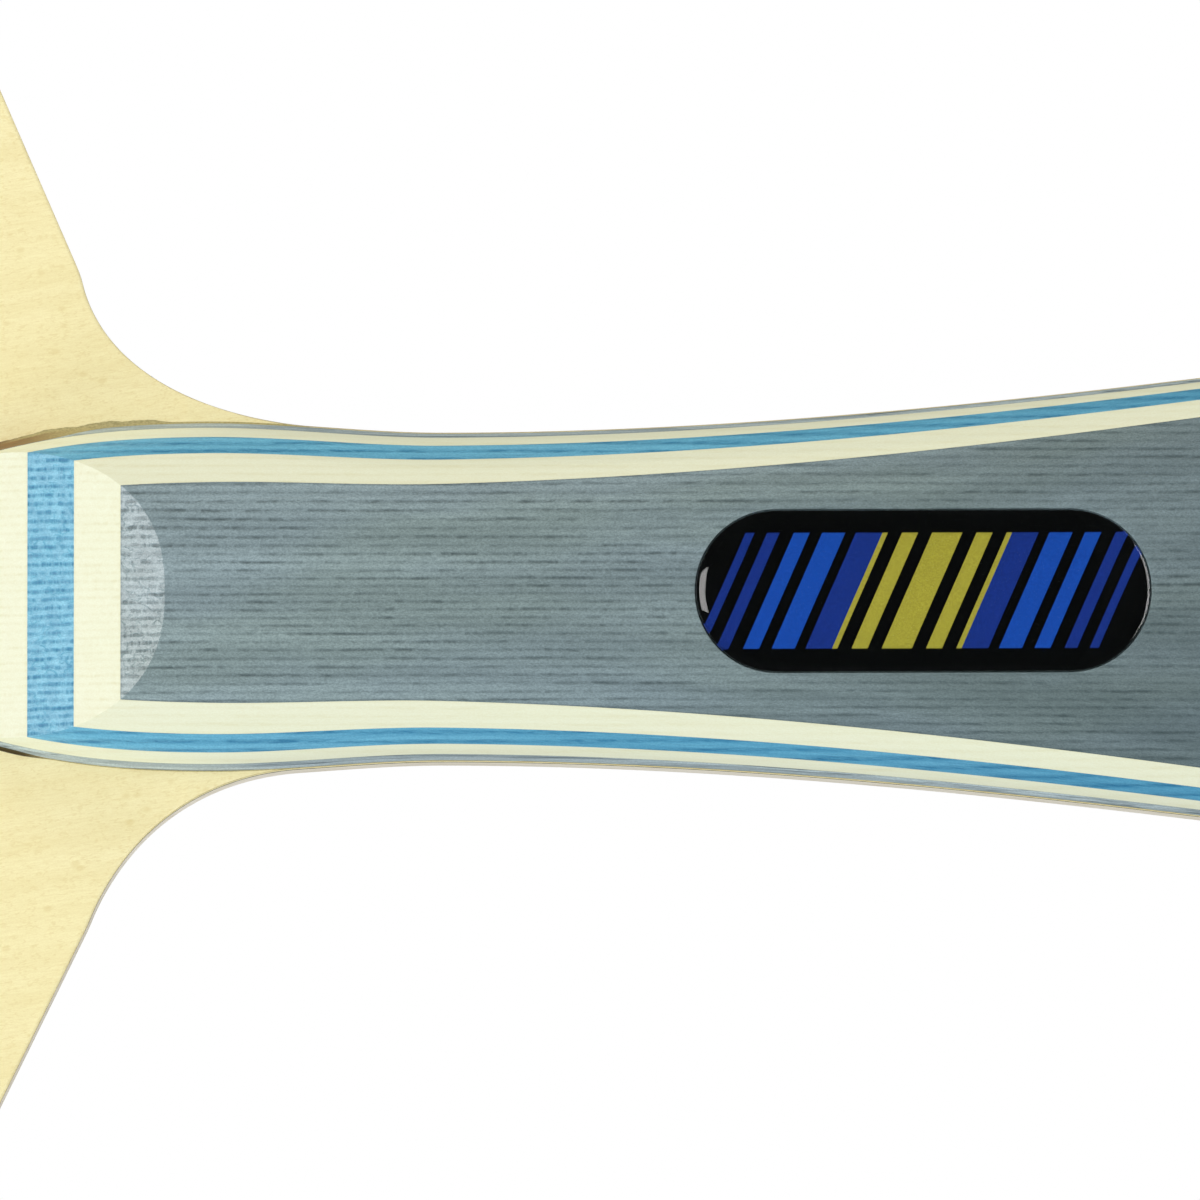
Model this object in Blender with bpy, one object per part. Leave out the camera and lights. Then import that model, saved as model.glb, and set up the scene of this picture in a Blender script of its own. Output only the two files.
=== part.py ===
"""A bare table tennis blade with a flared grip of coloured boards, standing on its butt end.

The origin is the middle of the butt's flat end. +Z runs along the handle to the tip of the head, the side
with the label faces -Y, and +X is to the right of someone who looks at that side. Depth is the distance
from the blade's middle plane, counted towards the front. Every length is in metres.
"""

import math

import bmesh
import bpy

# Blade: a stack of seven layers with one outline
core_thickness = 0.0030
inner_ply_thickness = 0.0007
fibre_thickness = 0.0002
face_ply_thickness = 0.0005
edge_ease = 0.00025

# Head: two half superellipses that meet at the widest line. The lower one would close below the head
head_length = 0.157
head_width = 0.150
tip_reach = 0.078
tip_power = 2.2
heel_below_head = 0.0094
heel_power = 2.63

# Shoulders: a straight run, then a hollow cut by hand, so right and left differ a little. Run ends and
# feet are distances below the head, and pulls say how far the hollow follows the line that it starts on
shoulder_start = 0.003
break_ease = 0.0008
right_run_angle = math.radians(66.5)
right_run_end = 0.0092
right_hollow_angle = math.radians(79.0)
right_foot = 0.0268
right_foot_pull = 0.0025
right_break_pull = 0.0100
left_run_angle = math.radians(63.8)
left_run_end = 0.0098
left_hollow_angle = math.radians(69.4)
left_foot = 0.0261
left_foot_pull = 0.0101
left_break_pull = 0.0046

# Grip: half-widths at its middle plane, and where along the handle they lie
handle_length = 0.100
butt_half_width = 0.0176
butt_flare = 0.125
waist_from_head_end = 0.037
waist_half_width = 0.0128
swell_from_head_end = 0.0192
swell_half_width = 0.01365
head_end_half_width = 0.01087
head_end_taper = 0.355
section_power = 2.46
butt_round = 0.001

# Grip boards: four flat boards and a carved crown on each side
board_thickness = 0.0015
crown_height_at_butt = 0.0038
crown_height_at_head = 0.00136
bevel_angle = math.radians(22.6)
bevel_lip = 0.00085

# Label: a stadium set flush into the front crown
label_length = 0.0348
label_width = 0.0124
label_from_butt = 0.0261
seat_depth = 0.0005
label_clearance = 0.0001
glue_film = 0.00005
print_thickness = 0.00015
dome_rise = 0.0009
dome_edge_power = 2.6

# How finely the curves are stepped
tip_steps = 24
heel_steps = 18
hollow_steps = 10
break_steps = 4
handle_steps = 26
butt_round_steps = 5
crown_steps = 20
label_end_steps = 12
label_side_steps = 6
label_ring_insets = (0, 0.03, 0.1, 0.22, 0.42, 0.7, 1)
cutter_height = 0.003
sharp_angle = math.radians(20)
solving_rounds = 12

front = 1
back = -1
face_depth = core_thickness / 2 + inner_ply_thickness + fibre_thickness + face_ply_thickness
crown_floor = face_depth + 4 * board_thickness
waist_height = handle_length - waist_from_head_end
swell_height = handle_length - swell_from_head_end
widest_height = handle_length + head_length - tip_reach
heel_reach = head_length - tip_reach + heel_below_head
right_shoulder = (
    right_run_angle, right_run_end, right_hollow_angle, right_foot, right_foot_pull, right_break_pull,
)
left_shoulder = (
    left_run_angle, left_run_end, left_hollow_angle, left_foot, left_foot_pull, left_break_pull,
)


def clear_scene():
    for old in list(bpy.data.objects):
        bpy.data.objects.remove(old)


def material(name, colour, roughness, metallic=0.0, alpha=1.0):
    made = bpy.data.materials.new(name)
    made.use_nodes = True
    shader = made.node_tree.nodes["Principled BSDF"]
    shader.inputs["Base Color"].default_value = (*colour, 1.0)
    shader.inputs["Roughness"].default_value = roughness
    shader.inputs["Metallic"].default_value = metallic
    shader.inputs["Alpha"].default_value = alpha
    return made


def hermite(t, start, start_slope, end, end_slope):
    """Cubic from start to end while t goes from 0 to 1. Slopes are per unit of t."""
    from_start = (2 * t**3 - 3 * t**2 + 1) * start + (t**3 - 2 * t**2 + t) * start_slope
    return from_start + (3 * t**2 - 2 * t**3) * end + (t**3 - t**2) * end_slope


def butt_inset(height):
    """How far the rounded edge of the butt draws the grip's skin in."""
    if height >= butt_round:
        return 0.0
    return butt_round - math.sqrt(butt_round**2 - (butt_round - height) ** 2)


def grip_half_width(height):
    """Half-width at the middle plane: flared at the butt, a waist, one swell, drawn in at the head end."""
    if height < waist_height:
        run = waist_height
        flared = hermite(height / run, butt_half_width, -butt_flare * run, waist_half_width, 0)
        return flared - butt_inset(height)
    if height < swell_height:
        run = swell_height - waist_height
        return hermite((height - waist_height) / run, waist_half_width, 0, swell_half_width, 0)
    run = handle_length - swell_height
    t = (height - swell_height) / run
    return hermite(t, swell_half_width, 0, head_end_half_width, -head_end_taper * run)


def grip_half_depth(height):
    """Depth of the crown's ridge: it falls from the butt along a parabola that is level at the head end."""
    share = (1 - height / handle_length) ** 2
    rise = crown_height_at_head + (crown_height_at_butt - crown_height_at_head) * share
    return crown_floor + rise - butt_inset(height)


def side_at(height, depth):
    """Half-width of the superellipse section at a depth from the middle plane."""
    share = abs(depth) / grip_half_depth(height)
    return grip_half_width(height) * (1 - share**section_power) ** (1 / section_power)


def skin_depth(x, height):
    """Depth of the grip's skin over a point x from the middle: the same section read the other way."""
    share = abs(x) / grip_half_width(height)
    return grip_half_depth(height) * (1 - share**section_power) ** (1 / section_power)


def bevel_height(depth):
    """Height at which the bevel ends a layer of the grip. Below it lies the square lip of the head end."""
    return handle_length - max(0.0, depth - face_depth - bevel_lip) / math.tan(bevel_angle)


def butt_heights():
    """Heights round the butt's edge, closer together where it curves."""
    turns = [math.pi / 2 * i / butt_round_steps for i in range(butt_round_steps)]
    return [butt_round * (1 - math.cos(turn)) for turn in turns]


def heights_to(end, steps):
    """Heights along the handle, from the flat of the butt to an end."""
    return butt_heights() + [butt_round + (end - butt_round) * i / steps for i in range(steps + 1)]


def superellipse_arc(half_width, reach, power, start, end, steps):
    """Points (across, along) of a superellipse quadrant between two angles, both ends included."""
    points = []
    for i in range(steps + 1):
        turn = start + (end - start) * i / steps
        across = half_width * max(0.0, math.cos(turn)) ** (2 / power)
        along = reach * max(0.0, math.sin(turn)) ** (2 / power)
        points.append((across, along))
    return points


def pulled(t, *points):
    """Point of the curve from the first point to the last, drawn towards the points between them."""
    while len(points) > 1:
        points = [(a[0] + (b[0] - a[0]) * t, a[1] + (b[1] - a[1]) * t) for a, b in zip(points, points[1:])]
    return points[0]


def half_outline(depth, shoulder):
    """One side of the blade's outline, (half-width, height), from the butt to just below the tip."""
    run_angle, run_end, hollow_angle, foot, foot_pull, break_pull = shoulder
    foot_height = handle_length - foot
    points = [(side_at(height, depth), height) for height in heights_to(foot_height, handle_steps)]
    start_share = (widest_height - handle_length + shoulder_start) / heel_reach
    start_width = head_width / 2 * (1 - start_share**heel_power) ** (1 / heel_power)
    broken = (start_width - (run_end - shoulder_start) * math.tan(run_angle), handle_length - run_end)

    before, foot_point = points[-2:]
    stretch = foot_pull / math.dist(before, foot_point)
    along_side = [here + (here - past) * stretch for here, past in zip(foot_point, before)]
    below_break = (
        broken[0] - break_pull * math.sin(hollow_angle),
        broken[1] - break_pull * math.cos(hollow_angle),
    )
    last = 1 - break_ease / (3 * break_pull)
    for i in range(1, hollow_steps + 1):
        points.append(pulled(last * i / hollow_steps, foot_point, along_side, below_break, broken))

    eased_start = points[-1]
    eased_end = (broken[0] + break_ease * math.sin(run_angle), broken[1] + break_ease * math.cos(run_angle))
    for i in range(1, break_steps + 1):
        points.append(pulled(i / break_steps, eased_start, broken, eased_end))

    start_turn = math.asin(start_share ** (heel_power / 2))
    heel = superellipse_arc(head_width / 2, heel_reach, heel_power, start_turn, 0, heel_steps)
    points += [(across, widest_height - along) for across, along in heel]
    tip = superellipse_arc(head_width / 2, tip_reach, tip_power, 0, math.pi / 2, tip_steps)
    points += [(across, widest_height + along) for across, along in tip[1:-1]]
    return points


def blade_outline(depth):
    """Closed outline of the blade at a depth, (x, z), up the right side and down the left."""
    right = half_outline(depth, right_shoulder)
    left = half_outline(depth, left_shoulder)
    tip = (0.0, widest_height + tip_reach)
    return right + [tip] + [(-x, z) for x, z in reversed(left)]


def board_outline(depth):
    """Closed outline of the grip at a depth, (x, z), from the butt to the bevel and back."""
    right = [(side_at(z, depth), z) for z in heights_to(bevel_height(depth), handle_steps)]
    return right + [(-x, z) for x, z in reversed(right)]


def depths_between(low, high, steps):
    """Depths of a layer's rings, with one more where the lip turns into the bevel."""
    depths = [low + (high - low) * i / steps for i in range(steps + 1)]
    lip = face_depth + bevel_lip
    if low < lip < high:
        depths.append(lip)
    return sorted(depths)


def finish_mesh(name, bm):
    """Closed mesh with its faces outwards, smooth except at its real edges."""
    bmesh.ops.recalc_face_normals(bm, faces=bm.faces)
    mesh = bpy.data.meshes.new(name)
    bm.to_mesh(mesh)
    bm.free()
    mesh.shade_smooth()
    mesh.set_sharp_from_angle(angle=sharp_angle)
    return mesh


def layer_mesh(name, outline, depths):
    """Loft of one layer: a ring of the outline at each depth, bridged, with flat faces at both ends."""
    bm = bmesh.new()
    rings = [[bm.verts.new((x, -depth, z)) for x, z in outline(depth)] for depth in depths]
    for lower, upper in zip(rings, rings[1:]):
        for i, corner in enumerate(lower):
            after = (i + 1) % len(lower)
            bm.faces.new((corner, lower[after], upper[after], upper[i]))
    bm.faces.new(rings[0])
    bm.faces.new(rings[-1])
    return finish_mesh(name, bm)


def crown_column(share):
    """Heights and skin points of one line along the crown, from the butt to where the bevel cuts it."""

    def skin_point(height):
        first = math.asin((crown_floor / grip_half_depth(height)) ** (section_power / 2))
        turn = first + (math.pi - 2 * first) * share
        across = grip_half_width(height) * abs(math.cos(turn)) ** (2 / section_power)
        depth = max(crown_floor, grip_half_depth(height) * math.sin(turn) ** (2 / section_power))
        return math.copysign(across, math.cos(turn)), depth

    end = bevel_height(crown_floor)
    for _ in range(solving_rounds):
        end = bevel_height(skin_point(end)[1])
    column = []
    for height in heights_to(end, handle_steps):
        x, depth = skin_point(height)
        column.append((x, -depth, height))
    return column


def crown_mesh(name):
    """The carved crown: lines along the skin, closed by its floor, the butt and the bevel's flat."""
    bm = bmesh.new()
    columns = []
    for i in range(crown_steps + 1):
        columns.append([bm.verts.new(point) for point in crown_column(i / crown_steps)])
    for here, beside in zip(columns, columns[1:]):
        for i in range(len(here) - 1):
            bm.faces.new((here[i], here[i + 1], beside[i + 1], beside[i]))
    bm.faces.new(columns[0] + columns[-1][::-1])
    bm.faces.new([column[0] for column in columns])
    bm.faces.new([column[-1] for column in columns])
    return finish_mesh(name, bm)


def stadium_ring(inset):
    """Points (x, z) of the label's outline, drawn in by an inset, anticlockwise from its lower right."""
    radius = label_width / 2 - inset
    straight = label_length - label_width
    top = label_from_butt + straight / 2
    bottom = label_from_butt - straight / 2
    points = [(radius, bottom + straight * i / label_side_steps) for i in range(label_side_steps)]
    turns = [math.pi * i / label_end_steps for i in range(label_end_steps)]
    points += [(radius * math.cos(turn), top + radius * math.sin(turn)) for turn in turns]
    points += [(-radius, top - straight * i / label_side_steps) for i in range(label_side_steps)]
    points += [(-radius * math.cos(turn), bottom - radius * math.sin(turn)) for turn in turns]
    return points


def label_mesh(name, growth, low, high):
    """A stadium plate that follows the crown. low and high give its depths over the skin, by inset."""
    bm = bmesh.new()
    skins = []
    for offset in (low, high):
        rings = []
        for share in label_ring_insets:
            inset = share * label_width / 2 if share > 0 else -growth
            ring = []
            for x, z in stadium_ring(inset):
                ring.append(bm.verts.new((x, -skin_depth(x, z) - offset(share), z)))
            rings.append(ring)
        skins.append(rings)
    walls = list(zip(skins[0], skins[0][1:])) + list(zip(skins[1], skins[1][1:]))
    walls.append((skins[0][0], skins[1][0]))
    for outer, inner in walls:
        for i, corner in enumerate(outer):
            after = (i + 1) % len(outer)
            bm.faces.new((corner, outer[after], inner[after], inner[i]))
    bmesh.ops.remove_doubles(bm, verts=bm.verts, dist=1e-7)
    return finish_mesh(name, bm)


def place(name, mesh, finish, parent, side=front):
    """A named piece. The back pieces are the front ones turned half round the handle."""
    piece = bpy.data.objects.new(name, mesh)
    bpy.context.scene.collection.objects.link(piece)
    piece.rotation_euler.z = 0.0 if side == front else math.pi
    piece.parent = parent
    if finish is not None and not mesh.materials:
        mesh.materials.append(finish)
    return piece


def ease_head_edge(piece):
    """Rounds off the outer edge of a face ply round the head, and leaves the tang's edges square."""
    mesh = piece.data
    outer = max(abs(vertex.co.y) for vertex in mesh.vertices)
    weights = mesh.attributes.new("bevel_weight_edge", "FLOAT", "EDGE")
    for edge in mesh.edges:
        ends = [mesh.vertices[i].co for i in edge.vertices]
        on_rim = all(math.isclose(abs(end.y), outer, abs_tol=1e-7) for end in ends)
        on_head = all(end.z > swell_height + edge_ease for end in ends)
        weights.data[edge.index].value = 1.0 if on_rim and on_head else 0.0
    bevel = piece.modifiers.new("eased edge", "BEVEL")
    bevel.limit_method = "WEIGHT"
    bevel.width = edge_ease
    bevel.segments = 2


def make_blade(parent):
    """Core ply in the middle, then inner ply, fibre sheet and face ply on each side."""
    pale_wood = material("core_wood", (0.72, 0.60, 0.40), 0.70)
    veneer = material("inner_wood", (0.78, 0.64, 0.42), 0.65)
    fibre = material("fibre", (0.10, 0.10, 0.09), 0.55)
    face_wood = material("face_wood", (0.87, 0.79, 0.52), 0.60)
    half_core = core_thickness / 2
    place("core_ply", layer_mesh("core_ply", blade_outline, (-half_core, 0, half_core)), pale_wood, parent)
    layers = (
        ("inner_ply", inner_ply_thickness, veneer),
        ("fibre_sheet", fibre_thickness, fibre),
        ("face_ply", face_ply_thickness, face_wood),
    )
    for side, side_name in ((front, "front"), (back, "back")):
        depth = half_core
        for layer, thickness, finish in layers:
            name = f"{layer}_{side_name}"
            depths = (side * depth, side * (depth + thickness))
            piece = place(name, layer_mesh(name, blade_outline, depths), finish, parent)
            depth += thickness
            if layer == "face_ply":
                ease_head_edge(piece)


def make_boards(parent):
    """The four flat boards of each grip half. Both halves share their meshes."""
    grey = material("grey_wood", (0.24, 0.29, 0.30), 0.60)
    white = material("white_wood", (0.87, 0.84, 0.66), 0.60)
    blue = material("blue_wood", (0.12, 0.33, 0.55), 0.60)
    boards = (("base", grey, 2), ("inner_white", white, 2), ("blue", blue, 2), ("outer_white", white, 3))
    for i, (board, finish, steps) in enumerate(boards):
        low = face_depth + i * board_thickness
        mesh = layer_mesh(board, board_outline, depths_between(low, low + board_thickness, steps))
        place(f"grip_{board}_front", mesh, finish, parent)
        place(f"grip_{board}_back", mesh, finish, parent, back)


def make_crowns(parent):
    """The carved crowns. The front one has the label's seat cut into it."""
    grey = material("crown_wood", (0.20, 0.25, 0.26), 0.60)
    place("grip_crown_back", crown_mesh("crown_back"), grey, parent, back)
    crown = place("grip_crown_front", crown_mesh("crown_front"), grey, parent)
    seat = label_mesh("label_seat", label_clearance, lambda share: -seat_depth, lambda share: cutter_height)
    cutter = place("label_seat_cutter", seat, None, parent)
    cutter.hide_render = True
    cutter.display_type = "WIRE"
    cut = crown.modifiers.new("label seat", "BOOLEAN")
    cut.operation = "DIFFERENCE"
    cut.solver = "EXACT"
    cut.object = cutter
    crown.modifiers.new("even shading", "WEIGHTED_NORMAL").keep_sharp = True


def make_label(parent):
    """The printed label on its glue film, and the clear dome, whose rim is flush with the wood."""
    ink = material("label_print", (0.01, 0.02, 0.06), 0.40)
    resin = material("clear_resin", (0.90, 0.93, 0.95), 0.05, alpha=0.25)
    print_low = glue_film - seat_depth
    print_high = print_low + print_thickness
    dome_low = print_high + glue_film

    def dome_top(share):
        return dome_rise * (1 - (1 - share) ** dome_edge_power) ** (1 / dome_edge_power)

    sheet = label_mesh("label_print", 0, lambda share: print_low, lambda share: print_high)
    dome = label_mesh("label_dome", 0, lambda share: dome_low, dome_top)
    place("label_print", sheet, ink, parent)
    place("label_dome", dome, resin, parent)


def main():
    clear_scene()
    blade = bpy.data.objects.new("table_tennis_blade", None)
    bpy.context.scene.collection.objects.link(blade)
    make_blade(blade)
    make_boards(blade)
    make_crowns(blade)
    make_label(blade)


main()
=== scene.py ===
# %% [markdown]
# A bare table tennis blade, with a flared grip built up from coloured boards.
#
# The CAD model comes in as a fixed frame: it says where everything is, but its meshes are stepped
# coarsely and its colours are flat. This lesson gives each layer a fine surface of its own, worked out
# from the same sizes, and a finish with the grain that such a photograph shows.

# %% Load the fixed frame
import math

import bmesh
import bpy
import numpy as np
from mathutils import Matrix, Vector


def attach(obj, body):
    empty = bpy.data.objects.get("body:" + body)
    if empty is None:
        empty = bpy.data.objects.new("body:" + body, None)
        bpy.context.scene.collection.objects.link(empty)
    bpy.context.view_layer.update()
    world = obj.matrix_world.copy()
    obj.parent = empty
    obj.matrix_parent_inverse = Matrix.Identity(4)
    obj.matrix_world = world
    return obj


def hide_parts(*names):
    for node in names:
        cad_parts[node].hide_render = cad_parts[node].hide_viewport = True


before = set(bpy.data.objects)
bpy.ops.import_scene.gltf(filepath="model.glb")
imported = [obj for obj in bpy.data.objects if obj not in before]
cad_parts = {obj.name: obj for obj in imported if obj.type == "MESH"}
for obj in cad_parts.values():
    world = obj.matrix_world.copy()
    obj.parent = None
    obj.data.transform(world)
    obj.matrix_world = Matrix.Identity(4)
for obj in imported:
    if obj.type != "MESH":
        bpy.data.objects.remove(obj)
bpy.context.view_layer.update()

# %% [markdown]
# The sizes come first. The script can't read the model's source, so it repeats the values that shape
# the visible skin. Everything is in metres: +Z runs from the butt to the tip of the head, the label
# faces -Y, and depth is the distance from the blade's middle plane. A shoulder's places are distances
# below the grip's head end, and its pulls bend the hollow, as the handles of a curve do.

# %% Sizes of the blade
core_thickness = 0.0030
inner_ply_thickness = 0.0007
fibre_thickness = 0.0002
face_ply_thickness = 0.0005
edge_ease = 0.00025
head_length = 0.157
head_width = 0.150
tip_reach = 0.078
tip_power = 2.2
heel_below_head = 0.0094
heel_power = 2.63
shoulder_start = 0.003
break_ease = 0.0008
right_shoulder = {
    "run_angle": math.radians(66.5),
    "run_end": 0.0092,
    "hollow_angle": math.radians(79.0),
    "foot": 0.0268,
    "foot_pull": 0.0025,
    "break_pull": 0.0100,
}
left_shoulder = {
    "run_angle": math.radians(63.8),
    "run_end": 0.0098,
    "hollow_angle": math.radians(69.4),
    "foot": 0.0261,
    "foot_pull": 0.0101,
    "break_pull": 0.0046,
}
print("head", 1000 * head_length, "mm long and", 1000 * head_width, "mm wide")

# %% Sizes of the grip and its label
handle_length = 0.100
butt_half_width = 0.0176
butt_flare = 0.125
waist_half_width = 0.0128
waist_height = handle_length - 0.037
swell_half_width = 0.01365
swell_height = handle_length - 0.0192
head_end_half_width = 0.01087
head_end_taper = 0.355
section_power = 2.46
butt_round = 0.001
board_thickness = 0.0015
crown_height_at_butt = 0.0038
crown_height_at_head = 0.00136
bevel_angle = math.radians(22.6)
bevel_lip = 0.00085
label_length = 0.0348
label_width = 0.0124
label_from_butt = 0.0261
seat_depth = 0.0005
label_clearance = 0.0001
glue_film = 0.00005
print_thickness = 0.00015
dome_rise = 0.0009
dome_edge_power = 2.6

face_depth = core_thickness / 2 + inner_ply_thickness + fibre_thickness + face_ply_thickness
crown_floor = face_depth + 4 * board_thickness
widest_height = handle_length + head_length - tip_reach
heel_reach = head_length - tip_reach + heel_below_head
print("blade", 2000 * face_depth, "mm thick, crown starts at depth", 1000 * crown_floor, "mm")

# %% [markdown]
# The grip is carved from one block of glued boards, so one skin runs over all of them. Its outline
# seen from the front is a chain of three cubics, and every section across it is the same kind of
# superellipse. With these two formulas any board can be cut out exactly, and neighbours meet without
# a step. The functions take whole arrays, so a surface of thousands of points is one call.


# %% The grip's skin
def hermite(t, start, start_slope, end, end_slope):
    """Cubic from start to end while t goes from 0 to 1, with the given slopes at its ends."""
    from_start = (2 * t**3 - 3 * t**2 + 1) * start + (t**3 - 2 * t**2 + t) * start_slope
    return from_start + (3 * t**2 - 2 * t**3) * end + (t**3 - t**2) * end_slope


def butt_inset(z):
    """Quarter circle that draws the skin in towards the end of the butt."""
    below = np.clip(butt_round - z, 0, butt_round)
    return butt_round - np.sqrt(butt_round**2 - below**2)


def grip_half_width(z):
    """Half-width at the middle plane: cubics from butt to waist, waist to swell, and swell to head end."""
    to_waist = hermite(z / waist_height, butt_half_width, -butt_flare * waist_height, waist_half_width, 0)
    run = swell_height - waist_height
    to_swell = hermite((z - waist_height) / run, waist_half_width, 0, swell_half_width, 0)
    run = handle_length - swell_height
    end_slope = -head_end_taper * run
    to_end = hermite((z - swell_height) / run, swell_half_width, 0, head_end_half_width, end_slope)
    above_waist = np.where(z < swell_height, to_swell, to_end)
    return np.where(z < waist_height, to_waist, above_waist) - butt_inset(z)


def grip_half_depth(z):
    """Depth of the crown's ridge: a parabola that falls from the butt and is level at the head end."""
    rise = crown_height_at_head + (crown_height_at_butt - crown_height_at_head) * (1 - z / handle_length) ** 2
    return crown_floor + rise - butt_inset(z)


def side_at(z, depth):
    """Half-width at a depth: half_width * (1 - (depth / half_depth)^power)^(1 / power)."""
    share = np.clip(np.abs(depth) / grip_half_depth(z), 0, 1)
    return grip_half_width(z) * (1 - share**section_power) ** (1 / section_power)


def skin_depth(x, z):
    """Depth of the skin over a point x from the middle: the same section, read the other way."""
    share = np.clip(np.abs(x) / grip_half_width(z), 0, 1)
    return grip_half_depth(z) * (1 - share**section_power) ** (1 / section_power)


def bevel_height(depth):
    """Height at which the bevel ends a layer. Below it is the square lip of the head end."""
    return handle_length - np.maximum(0, depth - face_depth - bevel_lip) / math.tan(bevel_angle)


print("widest at the butt", 2000 * float(grip_half_width(butt_round)), "mm")

# %% [markdown]
# Every piece is a closed shell: one or more grids of points, and flat caps where a saw or sander left
# a plane. The grids go into the mesh as arrays. Blender then welds the points that two grids share
# and turns all faces outwards. Curved faces are smooth and caps stay flat, so that a cap's broad face
# takes no shading from the curve beside it.

# %% Turn grids into a closed mesh
sharp_angle = math.radians(18)
weld_distance = 1e-7


def grid_faces(rows, columns, closed, first):
    """Quads of a grid whose points run along its rows. A closed grid joins its last column to its first."""
    index = first + np.arange(rows * columns).reshape(rows, columns)
    if closed:
        index = np.hstack([index, index[:, :1]])
    quads = np.stack([index[:-1, :-1], index[:-1, 1:], index[1:, 1:], index[1:, :-1]], axis=-1)
    return quads.reshape(-1, 4).tolist()


def shell(name, grids, caps):
    """Mesh of grids, given as (points, closed), and of flat caps, given as loops of points."""
    points, faces, first = [], [], 0
    for grid, closed in grids:
        points.append(grid.reshape(-1, 3))
        faces += grid_faces(*grid.shape[:2], closed, first)
        first += len(points[-1])
    curved = len(faces)
    for loop in caps:
        points.append(loop)
        faces.append(list(range(first, first + len(loop))))
        first += len(loop)
    mesh = bpy.data.meshes.new(name)
    mesh.from_pydata(np.concatenate(points), [], faces)
    mesh.polygons.foreach_set("use_smooth", np.arange(len(faces)) < curved)
    bm = bmesh.new()
    bm.from_mesh(mesh)
    bmesh.ops.remove_doubles(bm, verts=bm.verts, dist=weld_distance)
    bmesh.ops.recalc_face_normals(bm, faces=bm.faces)
    gaps = sum(not edge.is_manifold for edge in bm.edges)
    bm.to_mesh(mesh)
    bm.free()
    mesh.set_sharp_from_angle(angle=sharp_angle)
    print(name, len(mesh.polygons), "faces, open edges", gaps)
    return mesh


print("points closer than", weld_distance, "m become one")


# %% Put a mesh in the scene
def add_piece(name, mesh, finish, slot, *nodes):
    """Puts a mesh in the scene as a piece of the blade. It stands for the CAD nodes that it's given."""
    mesh.materials.append(finish)
    piece = bpy.data.objects.new(name, mesh)
    bpy.context.scene.collection.objects.link(piece)
    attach(piece, "root")
    if nodes:
        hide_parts(*nodes)
    return piece


def unturned(points):
    """Points as they are, for a piece on the front."""
    return points


def turned(points):
    """Points turned half round the handle, from the front to the back."""
    return points * np.array([-1.0, -1.0, 1.0])


def mirrored(points):
    """Points of the right side, moved to the left and taken in the other direction."""
    return points[::-1] * np.array([-1.0, 1.0, 1.0])


front_point = np.array([0.01, -0.01, 0.05])
print("the front point", front_point, "turns to", turned(front_point))

# %% [markdown]
# Wood is the same stuff all through, so its finish is a solid texture: a pattern in space that each
# surface cuts through. Growth lines are thin sheets that stand across the board and run along the
# handle. The crown cuts them into long dashes and the slanted bevel into short beads, as on the real
# grip, and nothing has to be unwrapped. A small class keeps the node recipes short. A noise lies
# mostly between 0.3 and 0.7, so a ramp over part of that span turns it into patches.


# %% A short way to write node recipes
class Recipe:
    """A node tree with short calls. Each adds one node, joins it up and returns what it puts out."""

    def __init__(self, tree):
        self.tree = tree

    def node(self, kind, *values, **settings):
        """A node with its settings and its first inputs in order. None leaves an input as it is."""
        made = self.tree.nodes.new(kind)
        for name, value in settings.items():
            setattr(made, name, value)
        for socket, value in zip(made.inputs, values):
            self.put(value, socket)
        return made

    def put(self, value, socket):
        """Gives a socket its value: a link from another node, or a plain number or colour."""
        if isinstance(value, bpy.types.NodeSocket):
            self.tree.links.new(value, socket)
        elif value is not None:
            socket.default_value = value

    def math(self, operation, a, b=None):
        """Arithmetic on one value or two."""
        return self.node("ShaderNodeMath", a, b, operation=operation).outputs[0]

    def times(self, a, b):
        """The product of two values."""
        return self.math("MULTIPLY", a, b)

    def stretch(self, vector, cells):
        """A vector multiplied part by part, so that a unit of the new one is one cell."""
        return self.node("ShaderNodeVectorMath", vector, cells, operation="MULTIPLY").outputs[0]

    def shift(self, vector, move):
        """A vector moved by another."""
        return self.node("ShaderNodeVectorMath", vector, move, operation="ADD").outputs[0]

    def parts(self, vector):
        """A vector's three parts. For a place on the blade they are across, depth and along."""
        return self.node("ShaderNodeSeparateXYZ", vector).outputs

    def noise(self, vector, detail=2.0, roughness=0.5):
        """Noise between 0 and 1, with one cell for each unit of the vector."""
        return self.node("ShaderNodeTexNoise", vector, None, 1.0, detail, roughness).outputs["Fac"]

    def ramp(self, value, low, high, first=0.0, last=1.0):
        """Value eased from first to last while it goes from low to high."""
        made = self.node("ShaderNodeMapRange", value, low, high, first, last, interpolation_type="SMOOTHSTEP")
        return made.outputs[0]

    def fade(self, value, low, high):
        """1 up to low, 0 from high on, and eased between the two."""
        return self.ramp(value, low, high, 1.0, 0.0)

    def mix(self, share, a, b):
        """Colour a turning into colour b by a share."""
        made = self.tree.nodes.new("ShaderNodeMix")
        made.data_type = "RGBA"
        for index, value in ((0, share), (6, a), (7, b)):
            self.put(value, made.inputs[index])
        return made.outputs[2]

    def relief(self, height, strength, depth):
        """Normals of a surface raised by a height. Depth is how much a height of 1 is, in metres."""
        made = self.node("ShaderNodeBump", strength, depth)
        self.put(height, made.inputs["Height"])
        return made.outputs[0]


print("recipe calls:", [name for name in vars(Recipe) if not name.startswith("_")])

# %% Start a group or a finish
clear_contrast = (0.35, 0.65)
soft_contrast = (0.3, 0.7)
fine_relief = 0.00002


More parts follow.
